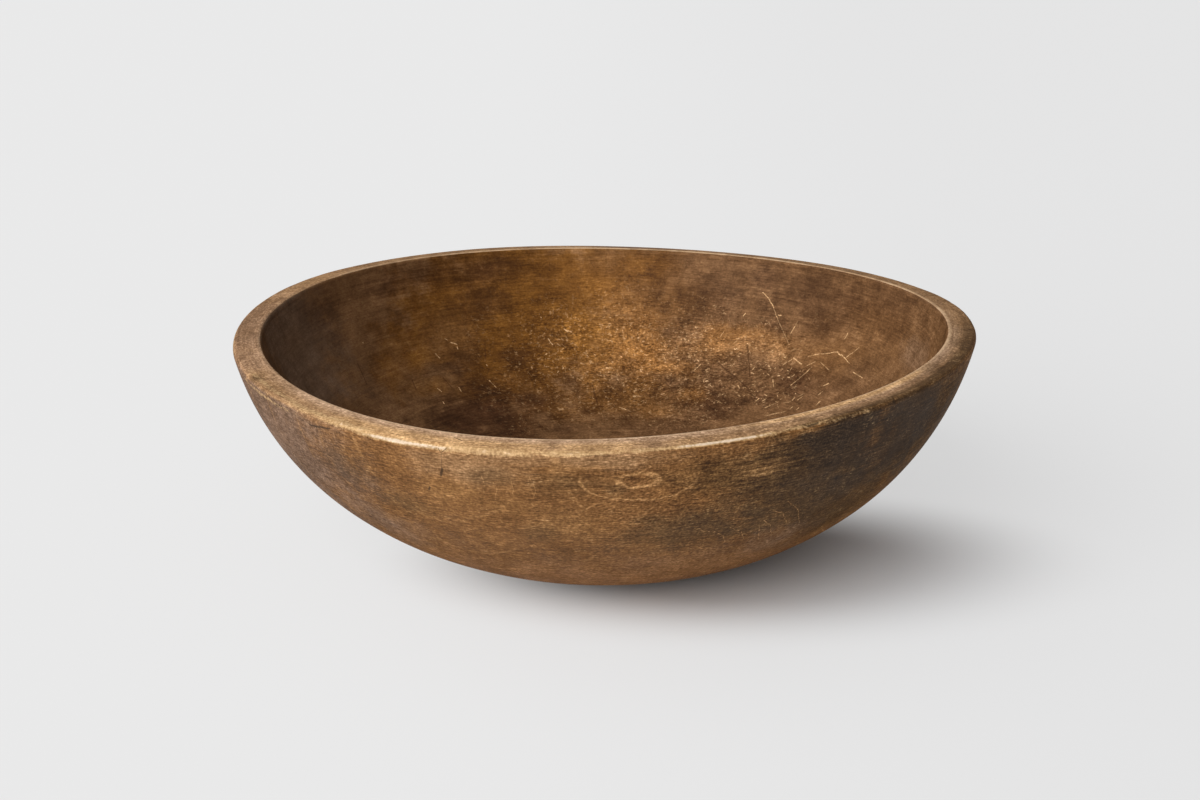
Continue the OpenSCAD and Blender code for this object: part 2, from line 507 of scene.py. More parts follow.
class Bench:
    """Adds nodes to a tree and joins them. Each call gives back the new node's output."""

    def __init__(self, tree):
        self.tree = tree
        self.count = 0

    def feed(self, socket, value):
        """Joins a socket to another one, or sets it to a plain value."""
        if isinstance(value, bpy.types.NodeSocket):
            self.tree.links.new(value, socket)
        else:
            socket.default_value = value

    def add(self, kind, inputs=(), out=0, **settings):
        """A node of a kind, with its settings, and its inputs from sockets or plain values."""
        node = self.tree.nodes.new(kind)
        node.location = (170 * (self.count // 8), -220 * (self.count % 8))
        self.count += 1
        for key, value in settings.items():
            setattr(node, key, value)
        for key, value in inputs.items() if isinstance(inputs, dict) else enumerate(inputs):
            self.feed(node.inputs[key], value)
        return node.outputs[out] if out is not None else node

    def math(self, operation, *values):
        """A sum of plain numbers."""
        return self.add("ShaderNodeMath", values, operation=operation)

    def times(self, first, *others):
        """The product of plain numbers."""
        for other in others:
            first = self.math("MULTIPLY", first, other)
        return first

    def swayed(self, base, value, strength):
        """A number moved up or down by a random value, which is 0.5 on average."""
        return self.math("MULTIPLY_ADD", self.math("SUBTRACT", value, 0.5), strength, base)

    def vector(self, operation, *values, out=0):
        """A sum of vectors."""
        keys = (0, "Scale") if operation == "SCALE" else (0, 1)
        return self.add("ShaderNodeVectorMath", dict(zip(keys, values)), out, operation=operation)

    def length(self, vector):
        """How long a vector is."""
        return self.vector("LENGTH", vector, out="Value")

    def part(self, vector, axis):
        """One part of a vector: its X, Y or Z."""
        return self.add("ShaderNodeSeparateXYZ", [vector], axis)

    def turned(self, vector, angle):
        """A vector turned about Z."""
        inputs = {"Vector": vector, "Angle": angle}
        return self.add("ShaderNodeVectorRotate", inputs, rotation_type="Z_AXIS")

    def noise(self, place, scale=1.0, detail=2.0, rough=0.5, out=0):
        """Smooth random values that change over the surface."""
        inputs = {"Vector": place, "Scale": scale, "Detail": detail, "Roughness": rough}
        return self.add("ShaderNodeTexNoise", inputs, out)

    def shaken(self, point, place, size, *grain):
        """A point moved at random, by half the size at most, so that lines there are ragged."""
        shake = self.vector("SUBTRACT", self.noise(place, *grain, out=1), (0.5, 0.5, 0.5))
        return self.vector("ADD", point, self.vector("SCALE", shake, size))

    def fade(self, value, start, end, low=0.0, high=1.0, soft=True):
        """Low where value is at start, high where it is at end, and smooth between."""
        # A smooth step keeps between low and high by itself. A clamp on each of them would fill
        # the renderer's stack of waiting values, and a finish with many stains would turn black.
        return self.add(
            "ShaderNodeMapRange",
            {"Value": value, "From Min": start, "From Max": end, "To Min": low, "To Max": high},
            interpolation_type="SMOOTHSTEP" if soft else "LINEAR",
            clamp=not soft,
        )

    def mix(self, share, first, second):
        """Two colours mixed by a share."""
        # The two colours are the 7th and 8th inputs of the node, and the mixed one its 3rd output.
        colours = (
            c if isinstance(c, bpy.types.NodeSocket) else (*c, 1.0) for c in (first, second)
        )
        inputs = dict(zip((0, 6, 7), (share, *colours)))
        return self.add("ShaderNodeMix", inputs, 2, data_type="RGBA")

    def group(self, tree, inputs):
        """A placed node group, with named inputs."""
        return self.add("ShaderNodeGroup", inputs, node_tree=tree)

    def piled(self, *noises):
        """The sum of noises, each about its middle and with its own strength."""
        total = -0.5 * sum(strength for _, strength in noises)
        for value, strength in noises:
            total = self.math("MULTIPLY_ADD", value, strength, total)
        return total

    def deepened(self, wood, value):
        """A wood colour made darker and redder where value is under zero, and paler where over."""
        parts = [self.math("EXPONENT", self.math("MULTIPLY", value, k)) for k in DEEPENING]
        return self.vector("MULTIPLY", wood, self.add("ShaderNodeCombineXYZ", parts))


def empty_tree(owner):
    """The node tree of a material or a world, with all its nodes cleared away."""
    owner.use_nodes = True
    owner.node_tree.nodes.clear()
    return owner.node_tree


# ---------------------------------------------------------------- node groups


def turning_streaks(b, given):
    """Fine streaks that run round the bowl, as turning and rubbing leave them."""
    run = b.length(given["Chart"])
    way = b.vector("NORMALIZE", given["Chart"])
    across = b.math("DIVIDE", run, given["Width"])
    round_it = b.vector("SCALE", way, b.math("DIVIDE", 0.19, given["Length"]))
    lift = b.add("ShaderNodeCombineXYZ", {"Z": b.math("ADD", across, given["Seed"])})
    return b.noise(b.vector("ADD", round_it, lift), 1.0, 1.5, 0.6)


def wood_fibre(b, given):
    """Fine fibre that runs along the grain, and shows as pores where the grain ends."""
    turned = b.turned(given["Place"], b.math("MULTIPLY", given["Grain"], -1.0))
    fine = b.math("DIVIDE", 1.0, given["Width"])
    long = b.math("DIVIDE", 1.0, given["Length"])
    stretch = b.add("ShaderNodeCombineXYZ", [long, fine, fine])
    return b.noise(b.vector("MULTIPLY", turned, stretch), 1.0, 2.0, 0.55)


def growth_rings(b, given):
    """Thin pale lines where the tree's yearly rings, pushed out at an eye, meet the surface."""
    place = given["Place"]
    turned = b.turned(place, b.math("MULTIPLY", given["Grain"], -1.0))
    fall = b.math("SUBTRACT", b.part(turned, "Z"), given["Pith height"])
    reach = b.length(b.add("ShaderNodeCombineXYZ", [b.part(turned, "Y"), fall]))
    reach = b.swayed(reach, b.noise(place, 9.0, 2.0, 0.5), 0.022)
    reach = b.swayed(reach, b.noise(place, 55.0, 1.0, 0.5), 0.0022)
    off = b.vector("MULTIPLY", b.vector("SUBTRACT", place, given["Eye"]), (1.0, 1.0, 2.1))
    far = b.math("DIVIDE", b.length(off), given["Eye size"])
    bump = b.math("EXPONENT", b.times(b.math("POWER", far, 2.0), -1.0))
    reach = b.math("MULTIPLY_ADD", bump, given["Eye rise"], reach)
    near = b.math("PINGPONG", b.math("DIVIDE", reach, given["Spacing"]), 0.5)
    return b.fade(near, given["Line"], 0.0)


def patch(b, given):
    """A soft patch with a ragged edge: its strength in its middle, 0 outside it."""
    off = b.vector("SUBTRACT", given["Place"], given["Middle"])
    far = b.math("ADD", b.length(b.vector("DIVIDE", off, given["Size"])), given["Ragged"])
    return b.fade(far, 1.0, given["Core"], 0.0, given["Strength"])


def grain_eye(b, given):
    """Two ragged loops of pale line, one inside the other, where a swirl of grain is cut."""
    place = b.shaken(given["Place"], given["Place"], 4 * MM, 160.0, 2.0, 0.6)
    off = b.vector("DIVIDE", b.vector("SUBTRACT", place, given["Middle"]), given["Size"])
    far = b.length(b.vector("MULTIPLY", off, (1.0, 0.0, 1.0)))
    inner = b.fade(b.math("ABSOLUTE", b.math("SUBTRACT", far, 1.0)), 0.30, 0.08)
    outer = b.fade(b.math("ABSOLUTE", b.math("SUBTRACT", far, 2.9)), 0.14, 0.03, 0.0, 0.8)
    # The outer loop fades out upwards, and nothing shows on the far side of the bowl.
    low = b.fade(b.part(off, "Z"), 1.2, -0.6)
    near = b.fade(b.part(place, "Y"), 0.0, -0.05)
    return b.times(b.math("MAXIMUM", inner, b.times(outer, low)), near)


def scratch(b, given):
    """Widths away from a straight scratch on a chart, or the given number where that is less."""
    off = b.vector("SUBTRACT", given["Chart"], given["From"])
    dot = b.vector("DOT_PRODUCT", off, given["Along"], out="Value")
    # Kept from 0 to 1 by hand, for the same reason as in a fade.
    share = b.math("MAXIMUM", b.times(dot, given["Per length"]), 0.0)
    nearest = b.vector("SCALE", given["Along"], b.math("MINIMUM", share, 1.0))
    far = b.vector("DISTANCE", off, nearest, out="Value")
    return b.math("MINIMUM", given["Before"], b.times(far, given["Per width"]))


def short_marks(b, given):
    """Many short marks scattered over a chart, each at its own angle."""
    scaled = b.vector("SCALE", given["Chart"], b.math("DIVIDE", 1.0, given["Cell"]))
    cells = b.add(
        "ShaderNodeTexVoronoi", {"Vector": scaled, "Scale": 1.0}, None,
        voronoi_dimensions="2D", feature="F1",
    ).outputs
    luck = b.add("ShaderNodeSeparateColor", [cells["Color"]], None).outputs
    off = b.vector("SCALE", b.vector("SUBTRACT", scaled, cells["Position"]), given["Cell"])
    turned = b.turned(off, b.swayed(given["Turn"], luck["Red"], given["Spread"]))
    long = b.times(given["Length"], b.math("ADD", luck["Blue"], 0.4))
    far_x = b.math("DIVIDE", b.math("ABSOLUTE", b.part(turned, "X")), long)
    far_y = b.math("DIVIDE", b.math("ABSOLUTE", b.part(turned, "Y")), given["Width"])
    body = b.times(b.fade(far_x, 0.5, 0.35), b.fade(far_y, 0.5, 0.2))
    return b.times(body, b.math("LESS_THAN", luck["Green"], given["Share"]))


# What joins up each group that the finishes use, and the vectors and values that it is given.
GROUPS = {
    "Turning streaks": (turning_streaks, ["Chart"], ["Width", "Length", "Seed"]),
    "Wood fibre": (wood_fibre, ["Place"], ["Width", "Length", "Grain"]),
    "Growth rings": (
        growth_rings, ["Place", "Eye"],
        ["Grain", "Pith height", "Spacing", "Line", "Eye size", "Eye rise"],
    ),
    "Patch": (patch, ["Place", "Middle", "Size"], ["Ragged", "Core", "Strength"]),
    "Grain eye": (grain_eye, ["Place", "Middle", "Size"], []),
    "Scratch": (scratch, ["Chart", "From", "Along"], ["Per length", "Per width", "Before"]),
    "Short marks": (
        short_marks, ["Chart"], ["Cell", "Length", "Width", "Share", "Turn", "Spread"],
    ),
}


def make_group(name):
    """A shader node group with named sockets, which gives back one value."""
    join, vectors, values = GROUPS[name]
    tree = bpy.data.node_groups.new(name, "ShaderNodeTree")
    sockets = tree.interface
    for words, kind in ((vectors, "NodeSocketVector"), (values, "NodeSocketFloat")):
        for word in words:
            sockets.new_socket(name=word, in_out="INPUT", socket_type=kind)
    sockets.new_socket(name="Value", in_out="OUTPUT", socket_type="NodeSocketFloat")
    b = Bench(tree)
    given = b.add("NodeGroupInput", (), None).outputs
    b.add("NodeGroupOutput", [join(b, given)], None)
    return tree


# ---------------------------------------------------------------- what both finishes share


def on_chart(angle, run):
    """A point of a chart, from degrees round the bowl and millimetres from the chart's middle."""
    angle = math.radians(angle)
    return (run * MM * math.cos(angle), run * MM * math.sin(angle), 0.0)


class Coat(Bench):
    """One finish in the making: its material and shader, and the random values of its wood."""

    def __init__(self, name, finish, sheen, groups, noises, streaks):
        self.material = bpy.data.materials.new(name)
        super().__init__(empty_tree(self.material))
        self.finish, self.groups = finish, groups
        self.shader = self.add("ShaderNodeBsdfPrincipled", (), None)
        # The rough old finish shines a little face on, and hardly at all along the surface.
        facing = self.add("ShaderNodeLayerWeight", {"Blend": 0.5}, "Facing")
        gleam = self.fade(facing, 0.45, 0.85, sheen, 0.15 * sheen)
        self.feed(self.shader.inputs["Specular IOR Level"], gleam)
        self.add("ShaderNodeOutputMaterial", {"Surface": self.shader.outputs[0]}, None)
        self.place = self.add("ShaderNodeTexCoord", (), "Object")
        self.chart = self.add("ShaderNodeUVMap", (), "UV", uv_map="chart")
        flattened = self.vector("MULTIPLY", self.place, (1.0, 1.0, 1.9))
        self.tone = self.noise(flattened, 30.0, 4.0, 0.8)
        self.mottle, self.cloud, self.grit = (self.noise(self.place, *row) for row in noises)
        self.dash, self.streak = (self.streaks(*row) for row in streaks)
        self.ragged = 0.0

    def streaks(self, width, length, seed):
        """Streaks round the bowl, of a mean width and length in mm."""
        return self.group(
            self.groups["Turning streaks"],
            {"Chart": self.chart, "Width": width * MM, "Length": length * MM, "Seed": seed},
        )

    def stain(self, x, y, z, wide, deep, high, strength, core):
        """A mask: its middle and reach in mm, its strength, and how far the full strength goes."""
        return self.group(
            self.groups["Patch"],
            {
                "Place": self.place,
                "Middle": (x * MM, y * MM, z * MM),
                "Size": (wide * MM, deep * MM, high * MM),
                "Ragged": self.ragged,
                "Core": core,
                "Strength": strength,
            },
        )

    def layer(self, base, patches):
        """Lays a list of stains and rubbed places over a base colour."""
        for tint, *stains in patches:
            for stain in stains:
                base = self.mix(self.stain(*stain), base, getattr(self.finish, tint))
        return base

    def scratches(self, chart, marks):
        """One mask for a list of scratches on a chart."""
        # So many widths away that nothing is drawn yet
        away = 9.0
        for width, *numbers in marks:
            points = [on_chart(*point) for point in zip(numbers[::2], numbers[1::2])]
            for start, end in zip(points, points[1:]):
                along = tuple(q - p for p, q in zip(start, end))
                away = self.group(
                    self.groups["Scratch"],
                    {
                        "Chart": chart,
                        "From": start,
                        "Along": along,
                        "Per length": 1 / sum(v * v for v in along),
                        "Per width": 1.2 / (width * MM),
                        "Before": away,
                    },
                )
        return self.fade(away, 1.0, 0.35)

    def marks(self, seed, cell, length, width, share, turn, spread):
        """Short marks: sizes in mm, the share of cells with one, mean angle and its spread."""
        return self.group(
            self.groups["Short marks"],
            {
                "Chart": self.vector("ADD", self.chart, (seed, seed * 0.7, 0.0)),
                "Cell": cell * MM,
                "Length": length * MM,
                "Width": width * MM,
                "Share": share,
                "Turn": turn,
                "Spread": spread,
            },
        )

    def finished(self, wood, rough, relief):
        """Gives the shader its colour, roughness and relief, and hands the material over."""
        bump = self.add("ShaderNodeBump", {"Strength": 0.35, "Distance": 0.00022, "Height": relief})
        for name, value in (("Base Color", wood), ("Roughness", rough), ("Normal", bump)):
            self.feed(self.shader.inputs[name], value)
        return self.material


# ---------------------------------------------------------------- outside and rim


# Rubbed and bleached places on the outside, and a greyer left side that is partly painted sheen
# along its edge. Each row is a tint of the finish and its places:
# middle (x, y, z) and reach (x, y, z) in mm, strength, and how far from the middle, as a share of
# the reach, the full strength goes.
OUTSIDE_PATCHES = [
    ("outside_grey_and_sheen", (-165, -75, 80, 96, 130, 95, 0.95, 0.3)),
    ("outside_low", (20, -122, 22, 125, 80, 32, 0.9, 0.3)),
    ("rim", (-62, -174, 98, 42, 30, 13, 0.7, 0.1), (-6, -188, 107, 52, 22, 8, 0.75, 0.2),
     (-46, -182, 105, 32, 22, 6, 0.6, 0.1)),
    ("outside_gold", (-72, -165, 84, 24, 24, 10, 0.45, 0.1), (-46, -172, 78, 20, 22, 8, 0.35, 0.1),
     (-14, -170, 68, 28, 26, 13, 0.5, 0.1), (90, 150, 80, 60, 50, 26, 0.45, 0.1)),
    ("outside_low", (170, 40, 60, 40, 80, 50, 0.45, 0.1)),
]

# Darker places, soaked with oil or darkened by smoke, which also hide the lines of the grain. The
# wide ones on the right side are partly painted shade.
OUTSIDE_STAINS_AND_SHADE = [
    ("outside_dark_and_shade", (-52, -177, 95, 18, 20, 7, 0.5, 0.1), (-16, -185, 93, 27, 22, 11, 0.6, 0.1),
     (-92, -144, 70, 28, 26, 12, 0.6, 0.1), (-122, -133, 86, 28, 28, 18, 0.4, 0.1),
     (96, -158, 84, 58, 60, 42, 0.95, 0.5), (54, -176, 96, 28, 22, 17, 0.8, 0.2),
     (36, -160, 62, 42, 34, 18, 0.8, 0.3), (118, -118, 64, 54, 50, 28, 0.85, 0.4),
     (80, -146, 62, 36, 34, 14, 0.75, 0.1), (106, -116, 50, 46, 42, 18, 0.65, 0.2),
     (5, -181, 90, 9, 14, 6, 0.5, 0.2), (-29, -164, 62, 11, 14, 9, 0.45, 0.2),
     (66, -149, 59, 19, 16, 9, 0.65, 0.2)),
    ("outside_smoke_and_shade", (113, -124, 69, 13, 16, 9, 0.5, 0.1), (94, -150, 81, 15, 16, 9, 0.45, 0.2),
     (122, -140, 102, 10, 12, 12, 0.5, 0.2)),
    ("outside_dark_and_shade", (27, -182, 96, 9, 12, 7, 0.4, 0.2), (22, -170, 71, 15, 14, 6, 0.55, 0.2)),
    ("outside_smoke_and_shade", (134, -132, 110, 9, 12, 7, 0.5, 0.2)),
    ("outside_dark_and_shade", (51, -175, 91, 9, 12, 8, 0.5, 0.2), (62, -176, 102, 8, 12, 5, 0.5, 0.2)),
    ("outside_gold", (39, -181, 97, 8, 10, 6, 0.35, 0.2)),
    ("rim_dark", (-100, -112, 50, 44, 46, 24, 0.45, 0.2), (-117, -92, 43, 14, 18, 10, 0.5, 0.2)),
    ("outside_grey_and_sheen", (84, -130, 46, 34, 34, 16, 0.4, 0.2)),
    ("hollow_amber", (45, -176, 92, 34, 26, 24, 0.2, 0.2)),
    ("outside_dark_and_shade", (182, -30, 84, 46, 90, 60, 0.5, 0.1), (156, -100, 95, 56, 75, 48, 0.9, 0.4)),
    ("outside_smoke_and_shade", (112, -146, 99, 44, 50, 24, 0.75, 0.3), (112, -128, 75, 28, 30, 13, 0.5, 0.1),
     (142, -118, 96, 44, 54, 34, 0.72, 0.4), (112, -152, 108, 42, 30, 11, 0.9, 0.4),
     (-20, 172, 60, 60, 50, 34, 0.6, 0.1)),
    ("outside_dark_and_shade", (-140, 90, 50, 50, 60, 24, 0.5, 0.1)),
    ("outside_gold", (74, -169, 96, 20, 20, 7, 0.4, 0.1)),
]

# The same on the rim.
RIM_PATCHES = [
    ("rim_grey", (-182, -5, 113, 40, 95, 40, 0.9, 0.3)),
    ("rim_pale_and_highlight", (-72, -168, 112, 125, 62, 30, 0.9, 0.5)),
    ("rim_dark", (-187, 4, 114, 14, 32, 20, 0.6, 0.1)),
    ("outside_dark_and_shade", (-171, -76, 111, 8, 8, 20, 0.7, 0.2)),
    ("rim_dark", (135, -112, 115, 82, 80, 40, 0.55, 0.4)),
    ("outside_dark_and_shade", (184, -46, 119, 24, 44, 30, 0.55, 0.2)),
    ("rim_dark", (20, 184, 112, 34, 30, 30, 0.9, 0.2)),
    ("rim_pale_and_highlight", (-157, 93, 115, 16, 20, 20, 0.25, 0.1)),
]

# Darker places that lie over the rim's dry inner side too.
RIM_STAINS = [
    ("rim_dark", (-24, -180, 112, 9, 14, 20, 0.55, 0.1), (22, -180, 112, 12, 14, 20, 0.65, 0.1)),
    ("outside_dark_and_shade", (160, -90, 116, 11, 13, 20, 0.5, 0.1), (96, -160, 115, 10, 10, 20, 0.45, 0.1)),
]

# Dark marks on the outside: width in mm, then degrees round the bowl and mm along the wood from
# the foot's middle for each of its points.
OUTSIDE_DARK_MARKS = [
    (0.5, 246.0, 242.3, 246.5, 238.6, 247.5, 242.5),
    (0.3, 246.5, 238.6, 246.5, 234.4, 246.2, 229.0), (1.3, 246.2, 228.2, 245.9, 224.4),
    (1.0, 243.3, 215.0, 243.0, 213.0), (0.5, 299.2, 244.9, 301.0, 241.6),
    (1.5, 300.0, 243.5, 301.6, 243.9), (0.7, 316.5, 245.6, 315.8, 241.2),
    (0.9, 221.9, 236.0, 226.7, 238.2), (0.45, 261.5, 160.6, 262.9, 158.3),
    (0.6, 247.4, 252.4, 249.0, 249.9),
]

# Thin golden lines where the grain comes to the surface, in the same way.
OUTSIDE_GRAIN_LINES = [
    (0.35, 252.3, 227.0, 252.5, 221.3, 252.0, 214.3),
    (0.35, 253.8, 223.7, 254.3, 219.9, 253.7, 211.5),
    (0.35, 256.6, 225.8, 256.8, 219.4, 256.2, 212.4),
    (0.35, 259.4, 227.7, 260.1, 220.1, 259.6, 214.6),
    (0.35, 256.3, 165.8, 258.0, 176.5, 259.6, 169.6),
    (0.45, 285.4, 185.8, 288.4, 182.6, 290.4, 178.2, 291.4, 171.6),
    (0.45, 291.0, 184.8, 293.4, 179.8, 294.9, 172.0), (0.45, 296.6, 181.6, 298.5, 167.4),
    (0.45, 296.6, 187.6, 299.0, 180.2, 300.9, 169.2),
    (0.45, 297.2, 193.6, 300.2, 189.0, 302.5, 178.6),
    (0.45, 300.0, 198.0, 303.0, 189.6, 305.6, 176.4),
]

# Random values of the outside. Noises: scale, detail and roughness of mottle, cloud and grit.
# Streaks: width and length in mm, and seed, of dash and streak.
OUTSIDE_NOISES = ((45.0, 3.0, 0.6), (110.0, 2.0, 0.7), (800.0, 1.0, 0.6))
OUTSIDE_STREAKS = ((0.5, 3.2, 3.0), (1.1, 20.0, 7.0))

# The growth rings in metres, and the eye that they and its two loops show on the front.
RINGS = {
    "Pith height": 0.1375, "Spacing": 0.008, "Line": 0.055,
    "Eye": (0.0137, -0.1842, 0.096), "Eye size": 0.026, "Eye rise": 0.012,
}
EYE_LOOPS = {"Middle": (0.0156, -0.1835, 0.0952), "Size": (0.0092, 0.02, 0.0040)}

# Where the foot's dry wood ends and starts, in metres from the foot's middle
FOOT_DRY = (0.066, 0.059)

# Where each thing on the rim starts or ends: metres from the bowl's middle towards +X.
RIM_SMOKE_AND_SHADE_STARTS = (0.070, 0.098)
INNER_SHEEN_STARTS, INNER_SHEEN_ENDS = (-0.175, -0.125), (0.150, 0.180)
INNER_HIGHLIGHT_STARTS, INNER_HIGHLIGHT_ENDS = (0.04, 0.09), (0.145, 0.165)
ARRIS_HIGHLIGHT_STARTS = (-0.165, -0.11)
EDGE_SINKS = (0.0, 0.05)

# Where the fibre is coarser, and where brushed streaks show.
COARSE_PLACE = (70, -165, 85, 110, 70, 55, 0.5, 0.2)
BRUSHED_PLACE = (74, -170, 97, 40, 40, 18, 2.2, 0.3)


def side_wood(b, grain, run, drawn_chart):
    """The side and the foot: oiled, rubbed and stained by smoke, with painted shade on the right
    and painted sheen along the left edge, and the lines of the grain.
    """
    line = b.finish.grain_line
    wood = b.layer(b.finish.outside, OUTSIDE_PATCHES)
    # The foot is paler, dry wood.
    wood = b.mix(b.fade(run, *FOOT_DRY, 0.0, 0.75), wood, b.finish.outside_gold)
    # Growth rings show as thin golden lines. The stains cover them, but not the eye.
    rings = b.group(b.groups["Growth rings"], {"Place": b.place, "Grain": grain, **RINGS})
    wood = b.mix(b.times(rings, b.fade(b.mottle, 0.42, 0.62, 0.0, 0.35)), wood, line)
    wood = b.layer(wood, OUTSIDE_STAINS_AND_SHADE)
    eye = b.group(b.groups["Grain eye"], {"Place": b.place, **EYE_LOOPS})
    wood = b.mix(b.times(eye, b.fade(b.mottle, 0.3, 0.55, 0.4, 0.8)), wood, line)
    drawn = b.scratches(drawn_chart, OUTSIDE_GRAIN_LINES)
    return b.mix(b.times(drawn, b.fade(b.dash, 0.35, 0.6, 0.25, 0.65)), wood, line)


def rim_wood(b, run, right, rim_streak, corner_at, arris_at):
    """The rim: rubbed lighter, with streaks that run round it, painted sheen and highlight on the
    inner half of its face, and painted shade on its right.
    """
    wood = b.layer(b.finish.rim, RIM_PATCHES)
    wood = b.mix(b.fade(rim_streak, 0.50, 0.28, 0.0, 0.5), wood, b.finish.rim_dark)
    front = b.fade(b.part(b.place, "Y"), 0.06, -0.06)
    # On the right the outer half of the face is darker, more and more towards the side: smoke, and
    # painted shade on its rounded shoulder.
    slanted = b.math("MULTIPLY_ADD", right, -0.035, run)
    slanted = b.math("MULTIPLY_ADD", b.ragged, 1.2 * MM, slanted)
    smoked_rim_and_shade = b.fade(slanted, corner_at + 2.2 * MM, corner_at - 1.6 * MM, 0.0, 0.9)
    smoked_rim_and_shade = b.times(smoked_rim_and_shade, b.fade(right, *RIM_SMOKE_AND_SHADE_STARTS), front)
    wood = b.mix(smoked_rim_and_shade, wood, b.finish.outside_dark_and_shade)
    # The inner half gets a painted sheen, and a pale painted highlight on the right of the front.
    inner_sheen = b.fade(run, corner_at + 6.5 * MM, arris_at - 2.2 * MM, 0.0, 0.92)
    inner_sheen = b.times(inner_sheen, b.fade(right, *INNER_SHEEN_STARTS, 0.3, 1.0), b.fade(right, *INNER_SHEEN_ENDS, 1.0, 0.5))
    wood = b.mix(b.times(inner_sheen, front), wood, b.finish.rim_inner_sheen)
    inner_highlight = b.fade(run, corner_at + 8.5 * MM, corner_at + 11.8 * MM, 0.0, 0.85)
    inner_highlight = b.times(inner_highlight, b.fade(right, *INNER_HIGHLIGHT_STARTS))
    inner_highlight = b.times(inner_highlight, b.fade(right, *INNER_HIGHLIGHT_ENDS, 1.0, 0.0), front)
    wood = b.mix(inner_highlight, wood, b.finish.rim_pale_and_highlight)
    return b.layer(wood, RIM_STAINS)


def outside_finish(finish, grain, groups, corner_at, arris_at):
    """The outside, the foot and the rim: oiled maple, stained by smoke and with painted shade on
    one side, rubbed on the rim, and with painted sheen and highlights on the rim and its inner
    corner.
    """
    b = Coat("outside_wood", finish, finish.sheen, groups, OUTSIDE_NOISES, OUTSIDE_STREAKS)
    b.ragged = b.piled((b.mottle, 1.2), (b.streak, 0.5))
    run = b.length(b.chart)
    right = b.part(b.place, "X")
    shaky = b.shaken(b.chart, b.place, 1.5 * MM, 350.0, 1.0, 0.5)
    rim_streak = b.streaks(0.7, 13.0, 11.0)
    fibre = b.group(
        groups["Wood fibre"],
        {"Place": b.place, "Width": 0.7 * MM, "Length": 4 * MM, "Grain": grain},
    )

    # The rim's wood starts just past the corner, and a little lower on the right.
    side = side_wood(b, grain, run, shaky)
    rim = rim_wood(b, run, right, rim_streak, corner_at, arris_at)
    edge_run = b.math("MULTIPLY_ADD", b.ragged, 0.9 * MM, run)
    edge_run = b.math("MULTIPLY_ADD", b.fade(right, *EDGE_SINKS), -1.0 * MM, edge_run)
    on_rim = b.fade(edge_run, corner_at - 1.4 * MM, corner_at + 0.8 * MM)
    wood = b.mix(on_rim, side, rim)

    # Texture of the fibre and the rubbing marks, finer and weaker on the handled rim.
    fine = b.piled((fibre, 1.5), (b.dash, 1.8), (b.grit, 1.4))
    fine = b.times(fine, b.math("MULTIPLY_ADD", on_rim, -0.45, 1.0))
    dapple = b.math("SUBTRACT", b.noise(b.place, 270.0, 1.0, 0.5), 0.5)
    dapple = b.swayed(dapple, b.grit, 1.8)
    fine = b.math("MULTIPLY_ADD", dapple, b.times(on_rim, 0.5), fine)
    fine = b.times(fine, b.math("ADD", b.stain(*COARSE_PLACE), 1.0))
    fine = b.swayed(fine, b.streak, b.stain(*BRUSHED_PLACE))
    broad = b.piled((b.tone, 1.4), (b.streak, 0.9), (b.cloud, 0.8))
    wood = b.deepened(wood, b.math("ADD", fine, broad))

    # The corner is rubbed golden, then bare where it is worn through, with specks in its pores.
    worn = b.add("ShaderNodeAttribute", (), "Fac", attribute_name="worn")
    edge = b.math("ADD", worn, b.piled((b.grit, 0.4), (b.dash, 0.5), (b.cloud, 0.7)))
    golden = b.deepened(finish.corner, b.piled((b.grit, 1.2), (rim_streak, 1.2)))
    wood = b.mix(b.fade(edge, 0.12, 0.45, 0.0, 0.75), wood, golden)
    bare = b.fade(edge, 0.52, 0.88, 0.0, 0.94)
    worn_wood = b.deepened(finish.worn, b.piled((b.grit, 0.5), (rim_streak, 0.5)))
    wood = b.mix(bare, wood, worn_wood)
    # A painted highlight along the rounded inner corner, broken by the tone, fading out towards the
    # left.
    arris = b.math("ABSOLUTE", b.math("SUBTRACT", run, arris_at - 0.8 * MM))
    arris_highlight = b.times(b.fade(arris, 1.7 * MM, 0.5 * MM), b.fade(b.tone, 0.42, 0.56, 0.35, 0.85))
    arris_highlight = b.times(arris_highlight, b.fade(right, *ARRIS_HIGHLIGHT_STARTS, 0.1, 1.0))
    wood = b.mix(arris_highlight, wood, finish.arris)
    dark = b.scratches(shaky, OUTSIDE_DARK_MARKS)
    wood = b.mix(b.times(dark, 0.8), wood, finish.outside_smoke_and_shade)

    rough = b.swayed(finish.shine, b.mottle, 0.3)
    rough = b.math("MULTIPLY_ADD", bare, 0.1, rough)
    return b.finished(wood, rough, b.piled((fibre, 0.5), (b.dash, 0.8), (b.streak, 0.8)))


# ---------------------------------------------------------------- hollow


